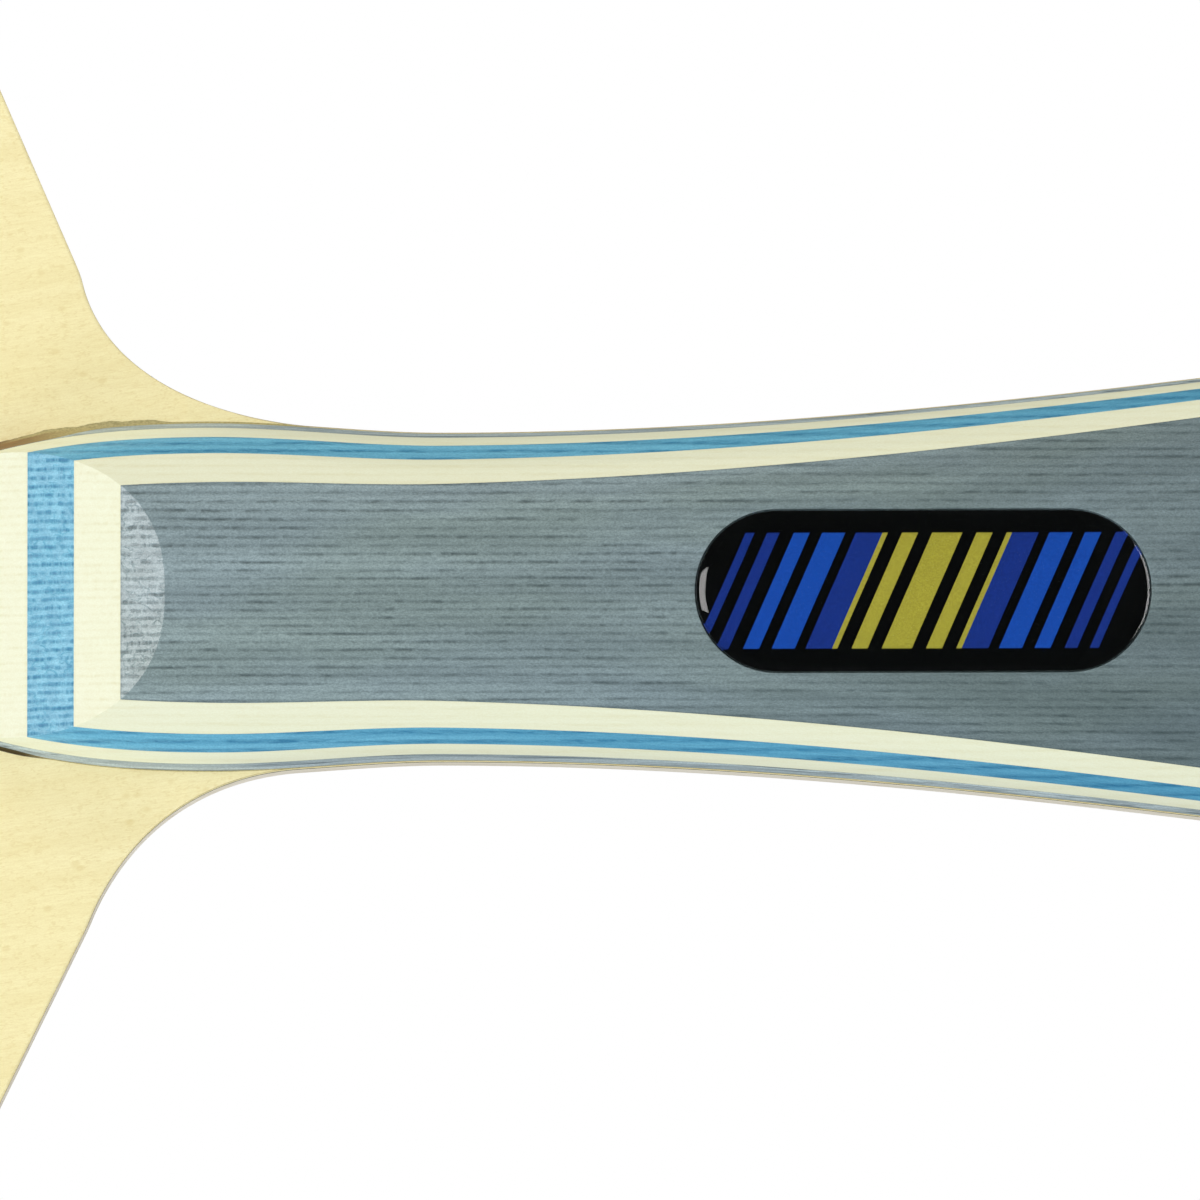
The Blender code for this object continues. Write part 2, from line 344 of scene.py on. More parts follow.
def start_group(name, inputs, outputs):
    """An empty shader group with its named sockets, and the recipe, input and output nodes to fill it."""
    group = bpy.data.node_groups.new(name, "ShaderNodeTree")
    for label, kind in inputs:
        group.interface.new_socket(label, in_out="INPUT", socket_type="NodeSocket" + kind)
    for label in outputs:
        group.interface.new_socket(label, in_out="OUTPUT", socket_type="NodeSocketFloat")
    return group, Recipe(group), group.nodes.new("NodeGroupInput"), group.nodes.new("NodeGroupOutput")


def start_finish(name):
    """A new material, its recipe, its shader, and the place of each surface point on the blade."""
    made = bpy.data.materials.new(name)
    made.use_nodes = True
    recipe = Recipe(made.node_tree)
    place = recipe.node("ShaderNodeTexCoord").outputs["Object"]
    print("finish", name)
    return made, recipe, made.node_tree.nodes["Principled BSDF"], place


def opaque(colour):
    """A colour with full alpha, as a socket takes it."""
    return (*colour, 1.0)


print("a noise lies mostly between", soft_contrast[0], "and", soft_contrast[1])

# %% [markdown]
# Growth lines stand at nearly even distances, so they are counted: the place across the board, in line
# spacings, gives each sheet a whole number, and the rest says how far a point is from the sheet. A slow
# sway bends the sheets and a quick one roughens them. The whole number also gives each sheet its own
# pattern of dashes, and its own strong and weak stretches. Here and in what follows, cells are counted
# to the metre: across the board, through its depth and along the handle.

# %% Group for growth lines
slow_cells = (80.0, 80.0, 8.0)
slow_sway = 2.0
quick_cells = (500.0, 2500.0, 130.0)
quick_sway = 0.45
line_middle = 0.5
cells_between_sheets = 7.3
dash_cells_deep = 4500.0
dash_cells_along = 600.0
dash_contrast = (0.36, 0.66)
faintest_dash = 0.2
stretch_of_dashes = (1.0, 0.1, 0.2)


def build_growth_lines():
    """Dashed dark sheets, Spacing metres apart. Width is a line's half-width, as a share of the spacing.

    Weakest is the strength that is left in a sheet's weak stretches.
    """
    inputs = [("Vector", "Vector"), ("Spacing", "Float"), ("Width", "Float"), ("Weakest", "Float")]
    group, recipe, source, sink = start_group("growth lines", inputs, ["Lines"])
    place = source.outputs["Vector"]
    across, depth, along = recipe.parts(place)
    slow = recipe.noise(recipe.stretch(place, slow_cells), detail=1.0)
    quick = recipe.noise(recipe.stretch(place, quick_cells), detail=5.0, roughness=0.62)
    sway = recipe.math("ADD", recipe.times(slow, slow_sway), recipe.times(quick, quick_sway))
    sheets = recipe.math("ADD", recipe.math("DIVIDE", across, source.outputs["Spacing"]), sway)
    sheet = recipe.math("FLOOR", sheets)
    rest = recipe.math("SUBTRACT", sheets, sheet)
    off_middle = recipe.math("ABSOLUTE", recipe.math("SUBTRACT", rest, line_middle))
    line = recipe.fade(off_middle, 0.0, source.outputs["Width"])
    dash_place = recipe.node(
        "ShaderNodeCombineXYZ",
        recipe.times(sheet, cells_between_sheets),
        recipe.times(depth, dash_cells_deep),
        recipe.times(along, dash_cells_along),
    ).outputs[0]
    dashes = recipe.noise(dash_place, detail=4.0, roughness=0.75)
    dashes = recipe.ramp(dashes, *dash_contrast, first=faintest_dash)
    stretches = recipe.noise(recipe.stretch(dash_place, stretch_of_dashes), detail=1.0)
    stretches = recipe.ramp(stretches, *clear_contrast, first=source.outputs["Weakest"])
    recipe.put(recipe.times(line, recipe.times(dashes, stretches)), sink.inputs["Lines"])
    return group


growth_lines = build_growth_lines()
print("group", growth_lines.name)

# %% [markdown]
# On the grip's sides the sheets lie flat in the surface and hardly show. What shows there are streaks:
# noise that changes fast across the board and very slowly along it has long level lines, and where it
# passes its middle value a thin dark line follows one of them. A second noise breaks the lines up.

# %% Group for streaks
field_middle = 0.5
breaks_shift = (7.0, 3.0, 5.0)
breaks_stretch = (0.7, 0.7, 3.0)
breaks_contrast = (0.35, 0.62)


def build_streaks():
    """Dark lines where a stretched noise passes its middle. Cells is how many cells a metre holds."""
    inputs = [("Vector", "Vector"), ("Cells", "Vector"), ("Width", "Float")]
    group, recipe, source, sink = start_group("streaks", inputs, ["Streaks"])
    place = recipe.stretch(source.outputs["Vector"], source.outputs["Cells"])
    field = recipe.noise(place, roughness=0.6)
    off_middle = recipe.math("ABSOLUTE", recipe.math("SUBTRACT", field, field_middle))
    line = recipe.fade(off_middle, 0.0, source.outputs["Width"])
    breaks = recipe.noise(recipe.stretch(recipe.shift(place, breaks_shift), breaks_stretch))
    recipe.put(recipe.times(line, recipe.ramp(breaks, *breaks_contrast)), sink.inputs["Streaks"])
    return group


streaks = build_streaks()
print("group", streaks.name)

# %% [markdown]
# Between the boards lies a hair of glue that holds sanding dust. On the grip's skin it shows as a thin
# darker line at each seam. All boards have one thickness, so the distance to the nearest seam comes
# from the depth alone, and one group serves every board. The count stops a little above the last
# seam, because the crown is thicker than a board.

# %% Group for glue seams
boards_counted = 4.4


def build_seams():
    """Mask of the seams between boards: near 1 within Width of a whole number of boards from the face."""
    inputs = [("Vector", "Vector"), ("Width", "Float")]
    group, recipe, source, sink = start_group("glue seams", inputs, ["Seam"])
    from_middle = recipe.math("ABSOLUTE", recipe.parts(source.outputs["Vector"])["Y"])
    depth = recipe.math("SUBTRACT", from_middle, face_depth)
    boards_deep = recipe.math("MINIMUM", recipe.math("DIVIDE", depth, board_thickness), boards_counted)
    nearest_seam = recipe.math("ROUND", boards_deep)
    off_seam = recipe.math("ABSOLUTE", recipe.math("SUBTRACT", boards_deep, nearest_seam))
    gap = recipe.times(off_seam, board_thickness)
    recipe.put(recipe.fade(gap, 0.0, source.outputs["Width"]), sink.inputs["Seam"])
    return group


glue_seams = build_seams()
print("group", glue_seams.name)

# %% [markdown]
# One maker builds every wood. It lays painted shade, bands, specks, fine fibres, dots, streaks, growth
# lines and seams over a slowly clouded body colour, and takes some of the same masks for relief and
# gloss: a line is darker, lower and duller than the wood round it. The painted shade darkens the grip
# towards the butt and its left side, in place of a falloff of the light. What sets the woods apart are
# the values they're given.

# %% The pattern of a wood
cloud_cells = (160.0, 160.0, 45.0)
speck_cells = (9000.0, 9000.0, 5500.0)
fibre_cells = (8000.0, 6000.0, 900.0)
fibre_contrast = (0.3, 0.75)
dot_cells = (700.0, 40.0, 450.0)
dot_rim = (0.08, 0.22)
# Painted shade: a ramp along this direction darkens the grip towards the butt and its left side.
dye_direction = (1.4, 0.0, 1.0)
dye_span = (-0.03, 0.1)
streak_width = 0.05
seam_width = 0.00009


def placed_group(recipe, group, **values):
    """A group placed in a recipe, with its inputs set by name."""
    made = recipe.node("ShaderNodeGroup", node_tree=group)
    for name, value in values.items():
        recipe.put(value, made.inputs[name])
    return made.outputs[0]


def wood_pattern(recipe, place, offset, slant, spacing, width, weakest, streak_cells, band_cells):
    """What varies in a wood, by name. Offset and slant move and turn all but the painted shade and the seams.
    """
    moved = recipe.node("ShaderNodeMapping", place, offset, (0.0, slant, 0.0)).outputs[0]
    # Painted shade: how far a point lies along the ramp that darkens the butt end and the left side.
    to_head = recipe.node("ShaderNodeVectorMath", place, dye_direction, operation="DOT_PRODUCT")
    from_dot = recipe.node("ShaderNodeTexVoronoi", recipe.stretch(moved, dot_cells), None, 1.0).outputs[0]
    sheets = {"Vector": moved, "Spacing": spacing, "Width": width, "Weakest": weakest}
    return {
        "clouds": recipe.noise(recipe.stretch(moved, cloud_cells)),
        "dye": recipe.fade(to_head.outputs["Value"], *dye_span),
        "bands": recipe.noise(recipe.stretch(moved, band_cells)),
        "specks": recipe.noise(recipe.stretch(moved, speck_cells), roughness=0.7),
        "fibres": recipe.noise(recipe.stretch(moved, fibre_cells), detail=3.0, roughness=0.6),
        "dots": recipe.fade(from_dot, *dot_rim),
        "streaks": placed_group(recipe, streaks, Vector=moved, Cells=streak_cells, Width=streak_width),
        "lines": placed_group(recipe, growth_lines, **sheets),
        "seams": placed_group(recipe, glue_seams, Vector=place, Width=seam_width),
    }


print("specks of", round(1000 / speck_cells[0], 2), "mm, clouds of", round(1000 / cloud_cells[0], 2), "mm")

# %% The maker of woods
streak_hollow = 0.5
speck_height = 0.35
dulling = 0.22
polish = 0.1
relief_strength = 0.8


def wood(name, body, cloud, dark, spacing, lines, streak, fibre, speck, band=0.15, seam=0.0, painted_shade_share=0.0,
         dots=0.0, width=0.17, weakest=0.5, streak_cells=(900.0, 1700.0, 25.0),
         band_cells=(700.0, 2600.0, 18.0), offset=(0.0, 0.0, 0.0), slant=0.0, roughness=0.5,
         relief=fine_relief):
    """A wood finish. From lines to dots, the values say how far each mask pulls the body to the dark."""
    made, recipe, shader, place = start_finish(name)
    pattern = wood_pattern(recipe, place, offset, slant, spacing, width, weakest, streak_cells, band_cells)
    steps = (
        # Painted shade, darker towards the butt and the grip's left side.
        (pattern["dye"], painted_shade_share),
        (recipe.ramp(pattern["bands"], *clear_contrast), band),
        (recipe.ramp(pattern["specks"], *soft_contrast), speck),
        (recipe.ramp(pattern["fibres"], *fibre_contrast), fibre),
        (pattern["dots"], dots),
        (pattern["streaks"], streak),
        (pattern["lines"], lines),
        (pattern["seams"], seam),
    )
    colour = recipe.mix(recipe.ramp(pattern["clouds"], *clear_contrast), opaque(body), opaque(cloud))
    for mask, share in steps:
        colour = recipe.mix(recipe.times(mask, share), colour, opaque(dark))
    recipe.put(colour, shader.inputs["Base Color"])
    hollows = recipe.math("MAXIMUM", recipe.times(pattern["streaks"], streak_hollow), pattern["lines"])
    dull = recipe.times(recipe.math("MAXIMUM", hollows, pattern["fibres"]), dulling)
    recipe.put(recipe.math("ADD", dull, roughness - polish), shader.inputs["Roughness"])
    height = recipe.math("SUBTRACT", recipe.times(pattern["specks"], speck_height), hollows)
    recipe.put(recipe.relief(height, relief_strength, relief), shader.inputs["Normal"])
    return made


print("a line dulls the wood by", dulling)

# %% [markdown]
# The woods of this blade. The playing faces are a straw-coloured veneer with a faint, fine mottle. The
# grip has three dyed or bare woods: grey, white and blue. The dyed ones show their lines strongly,
# because the dye gathers in them. The crown's grey and the blue also carry painted shade that darkens
# them towards the butt.

# %% Finishes of the grip boards
# The crown's grey carries painted shade, darker towards the butt and its left side.
crown_grey = wood(
    "crown grey wood", (0.385, 0.50, 0.545), (0.37, 0.48, 0.485), (0.04, 0.065, 0.07),
    spacing=0.00064, lines=0.78, streak=0.06, fibre=0.2, speck=0.36, band=0.23, seam=0.3, painted_shade_share=0.63,
    width=0.34, roughness=0.25, relief=0.00005, offset=(0.056, 0.0, 0.124), weakest=0.45,
    band_cells=(450.0, 1300.0, 18.0),
)
base_grey = wood(
    "base grey wood", (0.64, 0.77, 0.79), (0.60, 0.72, 0.74), (0.10, 0.135, 0.155),
    spacing=0.0006, lines=0.55, streak=0.85, fibre=0.2, speck=0.35, band=0.4, seam=0.6,
    roughness=0.5, offset=(0.031, 0.0, 0.012),
)
board_white = wood(
    "board white wood", (0.81, 0.845, 0.655), (0.82, 0.85, 0.665), (0.64, 0.60, 0.33),
    spacing=0.00062, lines=0.32, streak=0.08, fibre=0.05, speck=0.18, band=0.06, seam=0.2,
    width=0.34, roughness=0.45, relief=0.00001, offset=(0.057, 0.0, 0.041),
)
# The blue carries painted shade, darker towards the butt and its left side.
board_blue = wood(
    "board blue wood", (0.225, 0.60, 0.79), (0.20, 0.58, 0.77), (0.012, 0.16, 0.33),
    spacing=0.00066, lines=0.9, streak=0.07, fibre=0.2, speck=0.3, band=0.22, seam=0.1, painted_shade_share=0.45,
    width=0.36, roughness=0.35, relief=0.00006, offset=(0.083, 0.0, 0.027), weakest=0.7,
)

# %% Finishes of the blade's plies
face_straw = wood(
    "face veneer", (0.97, 0.895, 0.525), (0.975, 0.90, 0.54), (0.79, 0.66, 0.30),
    spacing=0.0011, lines=0.14, streak=0.5, fibre=0.3, speck=0.27, band=0.22,
    streak_cells=(2600.0, 2600.0, 650.0), roughness=0.58, relief=0.00001, offset=(0.021, 0.0, 0.067),
    slant=math.radians(9), dots=0.5,
)
inner_veneer = wood(
    "inner veneer", (0.92, 0.87, 0.75), (0.90, 0.85, 0.72), (0.42, 0.30, 0.15),
    spacing=0.0008, lines=0.2, streak=0.2, fibre=0.15, speck=0.1, band=0.1,
    roughness=0.62, offset=(0.045, 0.0, 0.013),
)
core_light = wood(
    "core wood", (0.93, 0.89, 0.78), (0.90, 0.85, 0.73), (0.42, 0.31, 0.17),
    spacing=0.0016, lines=0.25, streak=0.3, fibre=0.15, speck=0.12, band=0.12,
    streak_cells=(500.0, 500.0, 16.0), roughness=0.68, relief=0.00004, offset=(0.011, 0.0, 0.091),
)

# %% [markdown]
# Under each face veneer lies a thin sheet of woven fibre. Only its edge shows, as a dark line round
# the head in which the yarns that run across the edge glint a little lighter.

# %% Finish of the fibre sheets
yarn_width = 0.0012
yarn_contrast = (-0.3, 0.6)
yarn_black = (0.015, 0.016, 0.015)
yarn_brown = (0.16, 0.13, 0.06)
strand_cells = (12000.0, 20000.0, 12000.0)
strand_contrast = (0.4, 0.7)
strand_share = 0.5
strand_grey = (0.03, 0.03, 0.028)


def fibre_finish():
    """Dark yarns with lighter ends: the product of two crossed sines, with one turn to each yarn."""
    made, recipe, shader, place = start_finish("woven fibre")
    across, _, along = recipe.parts(place)
    turning = 2 * math.pi / yarn_width
    warp, weft = (recipe.math("SINE", recipe.times(part, turning)) for part in (across, along))
    yarns = recipe.ramp(recipe.times(warp, weft), *yarn_contrast)
    strands = recipe.noise(recipe.stretch(place, strand_cells))
    greyed = recipe.ramp(strands, *strand_contrast, last=strand_share)
    colour = recipe.mix(yarns, opaque(yarn_black), opaque(yarn_brown))
    colour = recipe.mix(greyed, colour, opaque(strand_grey))
    recipe.put(colour, shader.inputs["Base Color"])
    recipe.put(recipe.ramp(strands, *soft_contrast, first=0.35, last=0.6), shader.inputs["Roughness"])
    height = recipe.math("ADD", yarns, strands)
    recipe.put(recipe.relief(height, strength=0.6, depth=fine_relief), shader.inputs["Normal"])
    return made


woven_fibre = fibre_finish()

# %% [markdown]
# The blade's outline is drawn as a maker would mark it out. The head is two half superellipses, one
# towards the tip and one towards the heel. Each shoulder is a straight run that turns through a soft
# break into a hollow, and the hollow lands on the side of the tang, under the grip.

# %% Heights along the handle
butt_steps = 14


def heights_to(end, steps):
    """Heights from the butt to an end: closer together round the butt's edge, then even."""
    turn = np.linspace(0, math.pi / 2, butt_steps, endpoint=False)
    return np.concatenate([butt_round * (1 - np.cos(turn)), np.linspace(butt_round, end, steps + 1)])


print("first heights", [round(1000 * float(z), 4) for z in heights_to(handle_length, 1)[:4]], "mm")

# %% Outline of the blade
tang_steps = 110
hollow_steps = 60
break_steps = 12
heel_points = 110
tip_points = 150


def superellipse_arc(half_width, reach, power, turn):
    """Quadrant points: half_width * cos(turn)^(2/power) across, reach * sin(turn)^(2/power) along."""
    across = half_width * np.clip(np.cos(turn), 0, 1) ** (2 / power)
    along = reach * np.clip(np.sin(turn), 0, 1) ** (2 / power)
    return across, along


def run_places(run_angle, run_end, hollow_angle, break_pull):
    """Where the straight run starts and breaks, and the point below it that pulls the hollow's end."""
    start_share = (widest_height - handle_length + shoulder_start) / heel_reach
    start_width = head_width / 2 * (1 - start_share**heel_power) ** (1 / heel_power)
    broken_x = start_width - (run_end - shoulder_start) * math.tan(run_angle)
    broken = np.array([broken_x, handle_length - run_end])
    below = broken - break_pull * np.array([math.sin(hollow_angle), math.cos(hollow_angle)])
    return start_share, broken, below


def tang_and_hollow(depth, run_angle, run_end, hollow_angle, foot, foot_pull, break_pull):
    """The tang's side, and the cubic that leaves it along its own line and ends just before the break."""
    broken, below = run_places(run_angle, run_end, hollow_angle, break_pull)[1:]
    z = heights_to(handle_length - foot, tang_steps)
    tang = np.column_stack([side_at(z, depth), z])
    step = tang[-1] - tang[-2]
    along = tang[-1] + foot_pull * step / np.linalg.norm(step)
    t = np.linspace(0, 1 - break_ease / (3 * break_pull), hollow_steps + 1)[1:, None]
    hollow = ((1 - t) ** 3 * tang[-1] + 3 * t * (1 - t) ** 2 * along
              + 3 * t**2 * (1 - t) * below + t**3 * broken)
    return tang, hollow


def half_outline(depth, sizes):
    """One side of the blade from the butt to the tip: tang, hollow, eased break, heel and tip curves."""
    tang, hollow = tang_and_hollow(depth, **sizes)
    places = {name: sizes[name] for name in ("run_angle", "run_end", "hollow_angle", "break_pull")}
    start_share, broken, _ = run_places(**places)
    t = np.linspace(0, 1, break_steps + 1)[1:, None]
    run_angle = sizes["run_angle"]
    after = broken + break_ease * np.array([math.sin(run_angle), math.cos(run_angle)])
    eased_break = (1 - t) ** 2 * hollow[-1] + 2 * t * (1 - t) * broken + t**2 * after
    start_turn = math.asin(start_share ** (heel_power / 2))
    turn = np.linspace(start_turn, 0, heel_points)
    across, along = superellipse_arc(head_width / 2, heel_reach, heel_power, turn)
    heel = np.column_stack([across, widest_height - along])
    turn = np.linspace(0, math.pi / 2, tip_points)
    across, along = superellipse_arc(head_width / 2, tip_reach, tip_power, turn)
    tip = np.column_stack([across, widest_height + along])
    return np.concatenate([tang, hollow, eased_break, heel, tip[1:]])


def blade_outline(depth):
    """Closed outline (x, z) at a depth, up the right side and down the left."""
    right = half_outline(depth, right_shoulder)
    left = half_outline(depth, left_shoulder)[:-1][::-1]
    return np.concatenate([right, left * np.array([-1.0, 1.0])])


print("outline of", len(blade_outline(face_depth)), "points")

# %% [markdown]
# A ply is its outline at a few depths, joined into a wall, with a flat cap on each side. The outer
# edges of the two face veneers are eased with a quarter circle round the head, where the edge is
# sanded so that it doesn't splinter. On the tang they stay square, because the grip is glued there.

# %% Shape of a ply
ply_rings = 4
ease_rings = 7
ease_run = 0.004


def drawn_in(outline, inset):
    """The outline moved inwards by an inset, along the normal of each point."""
    ahead = np.roll(outline, -1, axis=0) - np.roll(outline, 1, axis=0)
    inward = np.column_stack([-ahead[:, 1], ahead[:, 0]])
    return outline + inset * inward / np.linalg.norm(inward, axis=1)[:, None]


def ring(outline, depth):
    """Outline points at a depth in front of the middle plane."""
    return np.column_stack([outline[:, 0], np.full(len(outline), -depth), outline[:, 1]])


def ply_mesh(name, low, high, rounded):
    """Wall and caps of a ply between two depths. A rounded one is eased off where it faces out."""
    depths = np.linspace(low, high, ply_rings)
    if rounded:
        depths = depths[:-1]
    rings = [ring(blade_outline(depth), depth) for depth in depths]
    if rounded:
        outward = math.copysign(1.0, high - low)
        outline = blade_outline(high)
        on_head = np.clip((outline[:, 1] - swell_height - edge_ease) / ease_run, 0, 1)
        for turn in np.linspace(0, math.pi / 2, ease_rings):
            inset = (edge_ease * on_head * (1 - math.cos(turn)))[:, None]
            depth = high - outward * edge_ease * (1 - math.sin(turn))
            rings.append(ring(drawn_in(outline, inset), depth))
    return shell(name, [(np.stack(rings), True)], [rings[0], rings[-1]])


print("the playing faces' edges are rounded by", 1000 * edge_ease, "mm")

# %% Make the plies
half_core = core_thickness / 2
core_mesh = ply_mesh("blade_core", -half_core, half_core, False)
add_piece("blade_core", core_mesh, core_light, "core_wood", "core_ply")
layers = (
    ("inner_ply", inner_ply_thickness, inner_veneer, "inner_wood", False),
    ("fibre_sheet", fibre_thickness, woven_fibre, "fibre_sheet", False),
    ("face_ply", face_ply_thickness, face_straw, "face_wood", True),
)
for side, side_name in ((1, "front"), (-1, "back")):
    depth = half_core
    for node, thickness, finish, slot, rounded in layers:
        name = f"blade_{node}_{side_name}"
        mesh = ply_mesh(name, side * depth, side * (depth + thickness), rounded)
        add_piece(name, mesh, finish, slot, f"{node}_{side_name}")
        depth += thickness

# %% [markdown]
# A grip board is a slice of the grip's skin between two depths. Each ring of the slice runs up one
# side, across the head end at the height where the bevel cuts that depth, and down the other side,
# so the bevel appears by itself as the rings step back.

# %% Shape of a grip board
board_steps = 120
depth_steps = 10


def board_ring(depth):
    """Closed outline of the grip at a depth, from the butt to the bevel and back."""
    z = heights_to(float(bevel_height(depth)), board_steps)
    right = np.column_stack([side_at(z, depth), np.full(len(z), -depth), z])
    return np.concatenate([right, mirrored(right)])


def board_rings(low):
    """Rings of a board, with one at the depth where the square lip turns into the bevel."""
    depths = np.linspace(low, low + board_thickness, depth_steps + 1)
    lip = face_depth + bevel_lip
    if low < lip < low + board_thickness:
        depths = np.sort(np.append(depths, lip))
    return np.stack([board_ring(depth) for depth in depths])


print("the base board has", len(board_rings(face_depth)), "rings, one of them at the lip")

# %% Make the grip boards
boards = (
    ("base", base_grey, "grey_base_wood"),
    ("inner_white", board_white, "white_wood"),
    ("blue", board_blue, "blue_wood"),
    ("outer_white", board_white, "white_wood"),
)
for step, (board, finish, slot) in enumerate(boards):
    rings = board_rings(face_depth + step * board_thickness)
    for side_name, placed in (("front", rings), ("back", turned(rings))):
        name = f"board_{board}_{side_name}"
        mesh = shell(name, [(placed, True)], [placed[0], placed[-1]])
        add_piece(name, mesh, finish, slot, f"grip_{board}_{side_name}")

# %% [markdown]
# The crown is the thick top board, carved to the hand. Along it run rows of skin points, and its head
# end is where the bevel's plane meets the skin. That curve has no simple formula, so a few rounds of
# "cut at this height, look how deep the skin is there, cut again" find it.

# %% Rows of the crown
across_steps = 96
edge_rounds = 12


def crown_row(z, share):
    """Skin points: the section's angle runs between the two places where it meets the crown's floor."""
    first = np.arcsin((crown_floor / grip_half_depth(z)) ** (section_power / 2))
    turn = first + (math.pi - 2 * first) * share
    across = grip_half_width(z) * np.abs(np.cos(turn)) ** (2 / section_power)
    depth = np.maximum(crown_floor, grip_half_depth(z) * np.sin(turn) ** (2 / section_power))
    return np.stack([np.sign(np.cos(turn)) * across, -depth, z + 0 * turn], axis=-1)


def bevel_edge(share):
    """Height of the crown's head end for each line along it."""
    end = np.full_like(share, float(bevel_height(crown_floor)))
    for _ in range(edge_rounds):
        end = bevel_height(-crown_row(end, share)[:, 1])
    return end


def crown_patch(heights):
    """Grid of skin points. Each row of heights holds one height for each line along the crown."""
    return crown_row(heights, shares[None, :])


shares = np.linspace(0, 1, across_steps + 1)
edge = bevel_edge(shares)
print("crown's head end from", 1000 * edge.min(), "to", 1000 * edge.max(), "mm up")

# %% [markdown]
# The back crown is one grid. The front one has a seat milled for the label, with an outline that no
# row follows. So the grid there runs round the seat instead: each point of the patch's border looks
# for the nearest point of the label's middle line, and the columns run along that sight line, over
# the skin, down the seat's wall and across its floor. The seat keeps one depth under the skin.

# %% Patch round the label's seat
label_radius = label_width / 2
label_low = label_from_butt - label_length / 2 + label_radius
label_high = label_from_butt + label_length / 2 - label_radius
patch_low = butt_round
patch_high = 0.048
patch_steps = 140
skin_steps = 44
floor_steps = 24


def rows_between(low, high, steps):
    """Rows of heights from one line across the crown to another. Either may be one height or an array."""
    low, high = np.broadcast_to(low, edge.shape), np.broadcast_to(high, edge.shape)
    return low + (high - low) * np.linspace(0, 1, steps + 1)[:, None]


def side_line(z):
    """The crown's right edge at heights z, where the skin meets its floor."""
    return np.column_stack([side_at(z, crown_floor), np.full(len(z), -crown_floor), z])


def seat_patch():
    """Grid round the label's seat, from its border inwards and down to the middle of the seat's floor."""
    upper = crown_patch(rows_between(patch_high, patch_high, 0))[0]
    lower = crown_patch(rows_between(patch_low, patch_low, 0))[0]
    right = side_line(np.linspace(patch_low, patch_high, patch_steps + 1)[1:-1])
    border = np.concatenate([lower[:1], right, upper, mirrored(right), lower[:0:-1]])
    middle = np.column_stack([np.zeros(len(border)), np.clip(border[:, 2], label_low, label_high)])
    sight = border[:, [0, 2]] - middle
    reach = np.linalg.norm(sight, axis=1)[:, None]
    seat = np.full_like(reach, label_radius + label_clearance)
    over_skin = [reach + (seat - reach) * t for t in np.linspace(0, 1, skin_steps + 1)]
    over_floor = [seat * (1 - t) for t in np.linspace(0, 1, floor_steps + 1)]
    rows = []
    for drop, far in [(0.0, f) for f in over_skin] + [(seat_depth, f) for f in over_floor]:
        x, z = (middle + sight / reach * far).T
        rows.append(np.column_stack([x, drop - skin_depth(x, z), z]))
    return np.stack(rows)


print("seat from", 1000 * (label_low - label_radius), "to", 1000 * (label_high + label_radius), "mm up")

# %% Make the crowns
back_steps = 170
head_steps = 90
butt_turn = np.linspace(0, math.pi / 2, butt_steps + 1)
butt_rows = (butt_round * (1 - np.cos(butt_turn)))[:, None] + 0 * edge
butt_patch = crown_patch(butt_rows)
back_patch = crown_patch(rows_between(patch_low, edge, back_steps))
head_patch = crown_patch(rows_between(patch_high, edge, head_steps))
seat_side = side_line(np.linspace(patch_low, patch_high, patch_steps + 1))


def crown_mesh(name, grids, lines, place):
    """Closed crown: its skin grids, and caps for the floor, the butt's flat and the bevel's flat."""
    right = np.concatenate([butt_patch[:-1, 0], *lines])
    floor = np.concatenate([right, mirrored(right)])
    bevel = grids[-1][0][-1]
    return shell(name, [(place(grid), closed) for grid, closed in grids],
                 [place(loop) for loop in (floor, butt_patch[0], bevel)])


front_grids = [(butt_patch, False), (seat_patch(), True), (head_patch, False)]
front_lines = [seat_side[:-1], head_patch[:, 0]]
back_grids = [(butt_patch, False), (back_patch, False)]
back_lines = [back_patch[:, 0]]
front_crown = crown_mesh("crown_front", front_grids, front_lines, unturned)
back_crown = crown_mesh("crown_back", back_grids, back_lines, turned)
add_piece("crown_front", front_crown, crown_grey, "grey_crown_wood", "grip_crown_front")
add_piece("crown_back", back_crown, crown_grey, "grey_crown_wood", "grip_crown_back")

# %% [markdown]
# The label is a printed film under a lens of clear resin. Both follow the crown's skin, so the film
# bends with it. Its print is a plain pattern of slanted bars on a black ground: gold in the middle and
# blue towards both ends, the same on either side. A colour ramp along the slanted direction draws them
# all, and each of its stops is where a colour starts.

# %% Bars of the print
black = (0.0015, 0.0020, 0.0020)
blue = (0.012, 0.080, 0.44)
deep_blue = (0.012, 0.038, 0.25)
gold = (0.43, 0.39, 0.05)
bar_slant = math.tan(math.radians(24))
bars = (
    (0.0, 0.0012, gold),
    (0.0022, 0.0034, gold),
    (0.0045, 0.0050, gold),
    (0.0050, 0.0070, deep_blue),
    (0.0078, 0.0096, blue),
    (0.0105, 0.0118, blue),
    (0.0128, 0.0138, deep_blue),
    (0.0148, 0.0154, deep_blue),
)


def colour_starts():
    """Where each colour starts along the label, in metres from its lower end.

    A bar is given by its near and its far distance from the label's middle, and lies on both sides of it.
    The ground starts again where a bar ends, unless the next bar starts there.
    """
    middle = label_length / 2
    both_sides = [(middle - far, middle - near, colour) for near, far, colour in bars]
    both_sides += [(middle + near, middle + far, colour) for near, far, colour in bars]
    starts = {0.0: black}
    starts.update({end: black for _, end, _ in both_sides})
    starts.update({start: colour for start, _, colour in both_sides})
    return sorted(starts.items())


print(len(bars), "bars on each side of the middle,", len(colour_starts()), "colour stops")

# %% Finish of the printed film
margin_end = 0.0018
bars_full = 0.0019
press_cells = (9000.0, 9000.0, 9000.0)
press_share = 0.18


